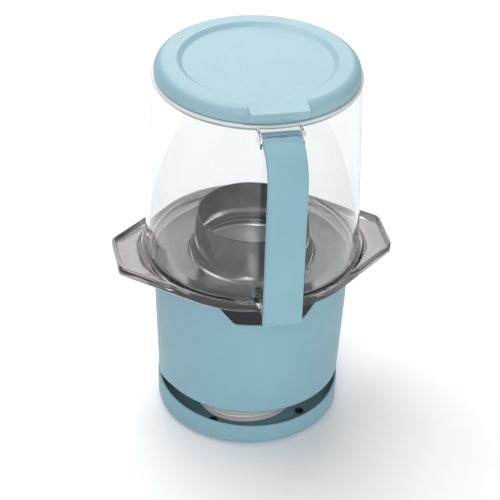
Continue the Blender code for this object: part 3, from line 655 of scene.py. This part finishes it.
def foot_shape(node):
    """A rubber foot, with the head of its stem in the dish's floor."""
    low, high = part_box(node)
    at = (low + high) / 2 - AXIS
    radius = (high.x - low.x) / 2
    floor = bpy.context.scene.popper_dish.floor
    shape = spun([
        (0, floor + 0.0004), (0.0015, floor + 0.0004, 0.0003), (0.0019, floor + 0.0013, 0.0004),
        (0.0034, floor + 0.0012, 0.0006), (0.0037, floor - 0.0002), (0.0022, floor - 0.0002),
        (0.0022, 0.0012), (radius, 0.0012, 0.0003), (radius - 0.0003, 0, 0.0005), (0.0040, 0, 0.0003),
        (0.0036, 0.0004, 0.0002), (0, 0.0004)], SMALL, closed=False)
    bmesh.ops.translate(shape, vec=(at.x, at.y, 0), verts=shape.verts)
    return shape


def deck_shape():
    """The dark deck under the tray, with recesses for the tie rods' heads."""
    low, high, radius = low_of("top_deck"), high_of("top_deck"), reach("top_deck")
    shoulder, under = high_of("outer_housing") + 0.0003, high - 0.0025
    collar_outer, collar_inner, opening = 0.0752, 0.0734, 0.0470
    groove_inner, groove_outer, groove_depth, groove_side = 0.0505, 0.0564, 0.0004, 0.0004
    head_radius, head_depth = 0.0033, 0.0016
    shape = spun([
        (radius, high, 0.0016), (radius, shoulder, 0.0005), (collar_outer, shoulder),
        (collar_outer, low, 0.0004), (collar_inner, low, 0.0004), (collar_inner, under),
        (opening, under, 0.0006), (opening, high, 0.0012), (groove_inner, high, 0.0004),
        (groove_inner + groove_side, high - groove_depth, 0.0003),
        (groove_outer - groove_side, high - groove_depth, 0.0003), (groove_outer, high, 0.0004)], ROUND)
    for rod in ("tie_rod_1", "tie_rod_2", "tie_rod_3"):
        low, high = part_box(rod)
        at = (low + high) / 2 - AXIS
        shape = carved(shape, [post(head_radius, high.z - head_depth, high.z + 0.002, at[:2])])
    return shape


def chamber_shape():
    """The spun cup that the corn pops in, with slots that set the air turning."""
    low, high, flange_radius = low_of("popping_chamber"), high_of("popping_chamber"), reach("popping_chamber")
    outer, wall, slot_count, slot_height = 0.0445, 0.0012, 12, 0.0123
    slot_turn, slot_size = radians(35), (0.012, 0.0020, 0.0120, 1)
    inner, flange = outer - wall, high - wall
    shape = spun([
        (0, low + wall + 0.0022), (0.012, low + wall + 0.0012, 0.004), (0.022, low + wall, 0.004),
        (inner, low + wall, 0.0045), (inner, high, 0.0012), (flange_radius, high, 0.0004),
        (flange_radius, flange, 0.0004), (outer, flange, 0.0008), (outer, low, 0.0055), (0, low)],
        160, closed=False)
    slots = bmesh.new()
    for i in range(slot_count):
        place = (Matrix.Rotation(2 * pi * i / slot_count, 4, "Z")
                 @ Matrix.Translation((inner, 0, low + slot_height))
                 @ Matrix.Rotation(slot_turn, 4, "Z") @ Matrix.Diagonal(slot_size))
        bmesh.ops.create_cube(slots, size=1, matrix=place)
    return carved(shape, [slots])


def cord_route(sizes):
    """The lead's line: from the strain relief, round the hub level by level, and on to the plug."""
    centre = (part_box("cord_coil")[0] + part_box("cord_coil")[1]) / 2 - AXIS
    floor = low_of("cord_coil")
    levels = [floor + sizes.wide * (k + 0.5) for k in range(sizes.levels)][::-1]
    over = levels[0] + sizes.wide + 0.0001
    entry, leave, ramp, per_turn = 180, 365, 55, 32
    start = RELIEF + RELIEF_WAY * RELIEF_LONG
    route = [start, start + Vector((-0.0025, -0.0065, 0.0004)), Vector((-0.0450, 0.0110, over))]
    total = leave - entry + 360 * (sizes.levels - 1)
    count = round(per_turn * total / 360)
    for k in range(count + 1):
        along = total * k / count
        turn, into = divmod(along, 360)
        above = over if turn == 0 else levels[int(turn) - 1]
        t = min(1, into / ramp)
        height = above + (levels[int(turn)] - above) * (3 * t**2 - 2 * t**3)
        angle = radians(entry + along)
        x, y = centre.x + sizes.radius * cos(angle), centre.y + sizes.radius * sin(angle)
        route.append(Vector((x, y, height)))
    to_plug = ((0.0370, 0.0100, 0.0081), (0.0388, 0.0230, 0.0089), (0.0392, 0.0350, 0.0101),
               (0.0352, 0.0462, 0.0108), (0.0300, 0.0518, 0.0110), (0.0246, 0.0530, 0.0110))
    route += [Vector(place) for place in to_plug]
    return smooth_route(route, ROUTE_STEP)


def smooth_route(points, step):
    """Points about a step apart on the Catmull-Rom curve through a route's own points."""
    ends = [2 * points[0] - points[1], *points, 2 * points[-1] - points[-2]]
    route = []
    for a, b, c, d in zip(ends, ends[1:], ends[2:], ends[3:]):
        count = max(1, round((c - b).length / step))
        for k in range(count):
            t = k / count
            route.append(0.5 * (2 * b + (c - a) * t + (2 * a - 5 * b + 4 * c - d) * t**2
                                + (3 * b - a - 3 * c + d) * t**3))
    return route + [points[-1]]


def twin_section(sizes, count=32):
    """Two round cores side by side, joined by a web."""
    core, reach_ = sizes.thick / 2, sizes.wide / 2
    section = []
    for k in range(count):
        angle = 2 * pi * k / count
        along = reach_ * cos(angle)
        bulge = sqrt(max(0, core**2 - (abs(along) - (reach_ - core))**2))
        web = core * 0.62 if abs(along) < reach_ - core else 0
        section.append(((1 if sin(angle) >= 0 else -1) * max(bulge, web), along))
    return section


# ---- tray, jar, handle and lid ----

def grip_edge(sizes):
    """The edge of a grip beyond the round lip, from one tangent point to the other."""
    end = reach("cover_tray")
    lean = atan2(sizes.grip_half, end) + acos(sizes.radius / hypot(end, sizes.grip_half))
    half = (sizes.radius - end * cos(lean)) / sin(lean)
    touch = (sizes.radius * cos(lean), sizes.radius * sin(lean))
    return rounded([(touch[0], -touch[1]), (end, -half, sizes.grip_corner), (end, half, sizes.grip_corner),
                    touch], closed=False)


def grip_reach(angle, edge, radius):
    """How far the grip's edge is past the round lip, at an angle."""
    way = Vector((abs(cos(angle)), sin(angle))) * radius * 2
    hits = [intersect_line_line_2d((0, 0), way, a, b) for a, b in zip(edge, edge[1:])]
    return max([hit.length - radius for hit in hits if hit] + [0])


def tray_shape(sizes):
    """The tray: a turned section whose lip is drawn out into the two grips."""
    low, chute_top, radius, wall = low_of("cover_tray"), high_of("cover_tray"), sizes.radius, sizes.wall
    under, lip, ledge, floor, spread = 0.1428, 0.1506, 0.1466, sizes.grip_floor, 0.020
    bowl_under, bowl_floor, grip_under = 0.1420, 0.1444, floor - 0.0026
    inner, outer, rim = radius - wall, radius + spread, radius + spread - wall
    chute = sizes.chute - wall
    shape = spun([
        (outer, lip, 0.0010), (outer, under, 0.0006), (outer - 0.0020, under, 0.0004),
        (outer - 0.0024, grip_under, 0.0006), (radius - 0.0010, grip_under, 0.0006),
        (radius - 0.0024, ledge), (0.0810, ledge, 0.0010), (0.0770, 0.1436, 0.0015),
        (0.0660, bowl_under, 0.003), (0.0465, bowl_under, 0.0005), (0.0460, low, 0.0005),
        (chute, low, 0.0005),
        (chute - 0.0010, chute_top, 0.0007), (sizes.chute - 0.0016, chute_top, 0.0007),
        (sizes.chute, 0.1500), (0.0500, bowl_floor, 0.004), (0.0660, bowl_floor, 0.006),
        (0.0770, 0.1462, 0.003), (0.0800, 0.1504, 0.0011), (0.0824, 0.1504, 0.0006),
        (0.0826, sizes.seat, 0.0003), (inner, sizes.seat, 0.0003), (inner, lip, 0.0007),
        (inner + 0.0021, lip, 0.0008), (inner + 0.0048, floor, 0.0030), (rim - 0.0010, floor, 0.0012),
        (rim, lip, 0.0007)], TRAY_STEPS)
    edge, ease_width = grip_edge(sizes), 0.005
    drawn = {}
    for vert in shape.verts:
        distance = hypot(vert.co.x, vert.co.y)
        angle = atan2(vert.co.y, vert.co.x)
        below = vert.co.z < ledge + 0.0003
        start = radius - 0.0024 if below else inner
        if distance < start - MERGE:
            continue
        key = round(angle * TRAY_STEPS / (2 * pi))
        if key not in drawn:
            drawn[key] = grip_reach(angle, edge, radius)
        width = drawn[key]
        t = min(1, (distance - start) / spread)
        ease = min(1, width / ease_width)
        ease = 3 * ease**2 - 2 * ease**3
        height = vert.co.z
        if distance <= start + spread + MERGE and not (below and height < grip_under - 0.0001):
            plain = ledge + (grip_under - ledge) * t if below else sizes.seat + (lip - sizes.seat) * t
            if not (t == 1 and not below):
                height = plain + (height - plain) * ease
        place = start + t * width + max(0, distance - start - spread)
        vert.co = (place * cos(angle), place * sin(angle), height)
    return shape


def wedge(near_half, near_low, near_high, far_half, far_low, far_high, near, far, edge):
    """A block that changes section from one depth to another, toward -Y."""
    shape = bmesh.new()
    bmesh.ops.create_cube(shape, size=2)
    for vert in shape.verts:
        at_far = vert.co.y < 0
        half, low, high = (far_half, far_low, far_high) if at_far else (near_half, near_low, near_high)
        vert.co = (half * vert.co.x, far if at_far else near, high if vert.co.z > 0 else low)
    return softened(shape, edge)


def jar_shape(sizes):
    """The jar, with the bracket that holds the handle's top and the ribbed lug at its foot."""
    foot, top = low_of("jar"), high_of("jar")
    neck = sizes.rim - 0.0008
    inner_neck = neck - sizes.wall + 0.0004
    shape = spun([
        (sizes.rim, top, 0.0009), (sizes.rim, top - 0.0024, 0.0006), (neck, top - 0.0034, 0.0008),
        (sizes.foot, foot, 0.0008), (sizes.foot - sizes.wall, foot, 0.0006),
        (inner_neck, top - 0.0034, 0.003),
        (sizes.rim - 0.0030, top, 0.0008)], ROUND)
    end = HANDLE_FRONT + bpy.context.scene.popper_handle.thick + 0.0003
    handle_top, half = high_of("handle"), sizes.bracket_half
    wall_at_lug, cheek_half, rib_half = -0.0838, 0.0008, 0.0007
    parts = [
        wedge(sizes.lug_half, 0.1562, 0.1640, 0.0125, 0.1500, 0.1570, wall_at_lug, end, 0.0007),
        block((-half, -0.0925, handle_top + 0.0005), (half, -0.0792, handle_top + 0.0026), 0.0005),
    ]
    for side in (-1, 1):
        middle = side * (half - 0.0011)
        parts.append(block((middle - cheek_half, -0.0922, 0.2900),
                           (middle + cheek_half, -0.0788, handle_top + 0.0018), 0.0004))
    for place in (-1, -0.5, 0.5, 1):
        rib = wedge(rib_half, 0.1530, 0.1652, rib_half, 0.1500, 0.1580,
                    wall_at_lug - 0.0001, end + 0.0002, 0.0003)
        for vert in rib.verts:
            depth = (vert.co.y - wall_at_lug + 0.0001) / (end - wall_at_lug + 0.0003)
            vert.co.x += place * (sizes.lug_half - 0.0012 - 0.0045 * depth)
        parts.append(rib)
    return carved(shape, parts, "UNION")


def handle_shape(sizes):
    """The strap: an outline along the jar's front, as wide as the CAD says, with rounded edges."""
    low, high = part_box("handle")
    front, back, end = HANDLE_FRONT, HANDLE_FRONT + sizes.thick, high.y - AXIS.y
    outline = rounded([
        (end, high.z), (front, high.z, sizes.bend), (front, low.z, 0.0030), (back, low.z),
        (back, high.z - sizes.thick, sizes.bend - sizes.thick), (end, high.z - sizes.thick)])
    shape = slab(outline, low.x, high.x, sideways)
    return softened(shape, sizes.edge, 50)


def tab_shape(sizes):
    """The tab: a block that flares into the skirt at its left end, under a thin overhanging lip."""
    top, half, front = high_of("lid"), sizes.tab_half, sizes.tab_front
    low, flare, drop, back = top - 0.0066, 0.0050, 0.0038, 0.0735
    body = bmesh.new()
    bmesh.ops.create_grid(body, x_segments=40, y_segments=10, size=1)
    for vert in body.verts:
        across, up = (vert.co.x + 1) / 2, (vert.co.y + 1) / 2
        start = -half - flare * (1 - up)**2 * (1 + 2 * up)
        x = start + (half - start) * across
        bottom = low - drop * max(0, (0.005 - half - x) / (flare + 0.005))**2
        vert.co = (x, 0.0014 - front + 1.3 * max(0, -half - x), bottom + (top - 0.0002 - bottom) * up)
    made = bmesh.ops.extrude_face_region(body, geom=body.faces[:], use_keep_orig=True)["geom"]
    for vert in (item for item in made if isinstance(item, bmesh.types.BMVert)):
        vert.co.y = -sqrt(back**2 - vert.co.x**2)
    bmesh.ops.recalc_face_normals(body, faces=body.faces)
    lip = block((-half - 0.0004, -front, top - 0.0015), (half + 0.0003, -0.0690, top - 0.00012), 0.0005)
    return body, lip


def lid_shape(sizes):
    """The lid: a dished top inside a broad soft ring, a skirt, and the ring that fits in the jar."""
    top, radius = high_of("lid"), sizes.radius
    floor, skin = top - sizes.recess, 0.0024
    foot = high_of("jar") + 0.0003
    plug = sizes.radius - 0.0019
    shape = spun([
        (0, floor + 0.0003), (sizes.crest - 0.0042, floor, 0.0020), (sizes.crest, top, 0.0016),
        (radius, top, sizes.shoulder), (radius, foot, 0.0007), (plug, foot, 0.0003),
        (plug, foot - 0.006, 0.0006), (plug - 0.002, foot - 0.006, 0.0006), (plug - 0.002, top - skin, 0.003),
        (sizes.crest + 0.0008, top - skin, 0.001), (sizes.crest - 0.0038, floor - skin, 0.001),
        (0, floor - skin)], ROUND, closed=False)
    return carved(shape, tab_shape(sizes), "UNION")


# ---- operators ----

# name, place from the part's middle, width of the disk, watts
LAMPS = (
    ("overhead", (-0.35, 0.45, 1.60), 1.4, 20),
    ("key", (-0.45, -1.65, 1.00), 0.8, 14),
    ("fill", (1.60, -1.20, 0.30), 1.3, 4),
    ("front", (0.10, -1.70, -0.09), 0.7, 5),
    ("back", (0.30, 1.70, 1.00), 1.5, 14),
)
SKY = 0.36  # strength of the even light all round
MIDDLE_HEIGHT = 0.16


class PopperMake:
    """What the operators share: undo, and one method that makes their pieces."""
    bl_options = {"REGISTER", "UNDO"}

    def execute(self, context):
        self.make(context.scene)
        return {"FINISHED"}


class POPPER_OT_finishes(PopperMake, bpy.types.Operator):
    """Give every CAD node the finish of its material slot"""
    bl_idname = "popper.finishes"
    bl_label = "Finishes"

    def make(self, scene):
        for part in frame["record"]["subparts"]:
            node = frame["nodes"][part["node"]]
            node.data.materials.clear()
            node.data.materials.append(finish_of(part["material_slot"]))


class POPPER_OT_base(PopperMake, bpy.types.Operator):
    """Build the dish and its rubber feet"""
    bl_idname = "popper.base"
    bl_label = "Dish and Feet"

    def make(self, scene):
        piece("dish_shell", dish_shape(scene.popper_dish), "aqua_shell", "base", ["base_dish"])
        for i in range(1, 5):
            piece(f"rubber_foot_{i}", foot_shape(f"foot_{i}"), "foot_rubber", "base", [f"foot_{i}"])
        hub = reach("cord_hub")
        wall = spun([(hub, high_of("cord_hub"), 0.0005), (hub, low_of("cord_hub"), 0.0008),
                     (hub - 0.0012, low_of("cord_hub")), (hub - 0.0012, high_of("cord_hub"), 0.0005)], 120)
        piece("hub_wall", wall, "aqua_shell", "base", ["cord_hub"])


class POPPER_OT_housing(PopperMake, bpy.types.Operator):
    """Build the housing, its badge and the deck"""
    bl_idname = "popper.housing"
    bl_label = "Housing and Deck"

    def make(self, scene):
        sizes = scene.popper_housing
        piece("housing_shell", housing_shape(sizes), "aqua_shell", "base", ["outer_housing"])
        piece("badge_plate", badge_shape(sizes), "charcoal", "base", ["front_badge"])
        piece("deck_ring", deck_shape(), "charcoal", "base", ["top_deck"])


class POPPER_OT_chamber(PopperMake, bpy.types.Operator):
    """Build the spun popping chamber"""
    bl_idname = "popper.chamber"
    bl_label = "Popping Chamber"

    def make(self, scene):
        piece("chamber_cup", chamber_shape(), "aluminium", "base", ["popping_chamber"])


class POPPER_OT_cord(PopperMake, bpy.types.Operator):
    """Wind the flat lead round the hub"""
    bl_idname = "popper.cord"
    bl_label = "Cord"

    def make(self, scene):
        sizes = scene.popper_cord
        route = cord_route(sizes)
        lead = piece("flat_lead", swept(route, twin_section(sizes)), "cord_white", "base",
                     ["cord_coil", "cord_lead_in", "cord_lead_out"], 70)


class POPPER_OT_tray(PopperMake, bpy.types.Operator):
    """Build the smoked tray with its grips and chute"""
    bl_idname = "popper.tray"
    bl_label = "Tray"

    def make(self, scene):
        piece("tray_pan", tray_shape(scene.popper_tray), "smoked_tray", "tray", ["cover_tray"], 50)


class POPPER_OT_jar(PopperMake, bpy.types.Operator):
    """Build the clear jar and the strap handle"""
    bl_idname = "popper.jar"
    bl_label = "Jar and Handle"

    def make(self, scene):
        wall = piece("jar_wall", jar_shape(scene.popper_jar), "clear_jar", "jar", ["jar"], 30)
        even = wall.modifiers.new("Even", "WEIGHTED_NORMAL")
        even.keep_sharp = True
        rim, top = scene.popper_jar.rim + 0.0001, high_of("jar")
        # A second ring over the jar's rim carries the painted highlight: its whitish, partly opaque finish
        # shows as the bright line under the lid.
        bead = spun([(rim, top, 0.0009), (rim, top - 0.0026, 0.0009), (rim - 0.0024, top - 0.0026, 0.0006),
                     (rim - 0.0030, top + 0.0001, 0.0006)])
        look = painted_rim_highlight("rim_bead_finish", scene.popper_colours.clear)
        piece("rim_bead", bead, "clear_jar", "jar", look=look)
        piece("strap_handle", handle_shape(scene.popper_handle), "aqua_shell", "jar", ["handle"], 35)


class POPPER_OT_lid(PopperMake, bpy.types.Operator):
    """Build the lid with its tab"""
    bl_idname = "popper.lid"
    bl_label = "Lid"

    def make(self, scene):
        cover = piece("lid_cover", lid_shape(scene.popper_lid), "lid_aqua", "lid", ["lid"], 35)
        even = cover.modifiers.new("Even", "WEIGHTED_NORMAL")
        even.keep_sharp = True


class POPPER_OT_stage(PopperMake, bpy.types.Operator):
    """Set the floor, the soft lights and the camera"""
    bl_idname = "popper.stage"
    bl_label = "Stage"

    def make(self, scene):
        self.floor(scene)
        middle = AXIS + Vector((0, 0, MIDDLE_HEIGHT))
        for name, offset, width, power in LAMPS:
            self.lamp(name, middle + Vector(offset), middle, width, power)
        world = bpy.data.worlds.new("studio")
        world.use_nodes = True
        sky = world.node_tree.nodes["Background"].inputs
        sky["Color"].default_value = (0.97, 0.98, 1.0, 1)
        sky["Strength"].default_value = SKY
        scene.world = world
        scene.view_settings.view_transform = "Standard"
        self.camera(scene, middle)

    def floor(self, scene):
        shape = bmesh.new()
        bmesh.ops.create_grid(shape, x_segments=1, y_segments=1, size=6)
        mesh = bpy.data.meshes.new("floor")
        shape.to_mesh(mesh)
        shape.free()
        graph = Graph("floor_paper")
        tint = scene.popper_colours.floor
        graph.set(Base_Color=graph.blend(graph.noise(0.5), shade(tint, 0.99), tint), Roughness=0.7,
                  Specular_IOR_Level=0.2)
        graph.bump((graph.noise(0.002, 3), 0.00002, 0.2))
        mesh.materials.append(graph.material)
        ground = bpy.data.objects.new("floor", mesh)
        scene.collection.objects.link(ground)

    def lamp(self, name, place, target, width, power):
        data = bpy.data.lights.new(name, "AREA")
        data.shape = "DISK"
        data.size = width
        data.energy = power
        lamp = bpy.data.objects.new(name, data)
        lamp.location = place
        lamp.rotation_euler = (target - place).to_track_quat("-Z", "Y").to_euler()
        bpy.context.scene.collection.objects.link(lamp)

    def camera(self, scene, middle):
        sizes = scene.popper_stage
        a, e = sizes.azimuth, sizes.elevation
        back = Vector((sin(a) * cos(e), -cos(a) * cos(e), sin(e)))
        right = Vector((cos(a), sin(a), 0))
        up = back.cross(right)
        lean = Matrix.Rotation(-sizes.lean, 3, back)
        right, up = lean.inverted() @ right, lean.inverted() @ up
        eye = middle + back * sizes.distance
        back = (back - right * sizes.aim_right - up * sizes.aim_up).normalized()
        right = up.cross(back).normalized()
        up = back.cross(right)
        data = bpy.data.cameras.new("camera")
        data.lens = sizes.lens
        data.clip_start, data.clip_end = 0.1, 20
        camera = bpy.data.objects.new("camera", data)
        camera.matrix_world = Matrix.Translation(eye) @ Matrix((right, up, back)).transposed().to_4x4()
        scene.collection.objects.link(camera)
        scene.camera = camera


class POPPER_PT_panel(bpy.types.Panel):
    """Steps that build the popcorn maker, in order"""
    bl_idname = "POPPER_PT_panel"
    bl_label = "Popcorn Maker"
    bl_space_type = "VIEW_3D"
    bl_region_type = "UI"
    bl_category = "Popper"

    def draw(self, context):
        for step in STEPS:
            self.layout.operator(step.bl_idname)
        for name, group in GROUPS.items():
            box = self.layout.box()
            box.label(text=group.__doc__.split(".")[0])
            for field in group.__annotations__:
                box.prop(getattr(context.scene, name), field)


STEPS = (
    POPPER_OT_stage, POPPER_OT_finishes, POPPER_OT_cord, POPPER_OT_base, POPPER_OT_housing,
    POPPER_OT_chamber, POPPER_OT_tray, POPPER_OT_jar, POPPER_OT_lid)
CLASSES = (*GROUPS.values(), *STEPS, POPPER_PT_panel)


def register():
    for made in CLASSES:
        bpy.utils.register_class(made)
    for name, group in GROUPS.items():
        setattr(bpy.types.Scene, name, PointerProperty(type=group))


def unregister():
    for name in GROUPS:
        delattr(bpy.types.Scene, name)
    for made in reversed(CLASSES):
        bpy.utils.unregister_class(made)


def main():
    register()
    for step in STEPS:
        group, call = step.bl_idname.split(".")
        getattr(getattr(bpy.ops, group), call)()
    bpy.context.view_layer.update()


if __name__ == "__main__":
    main()
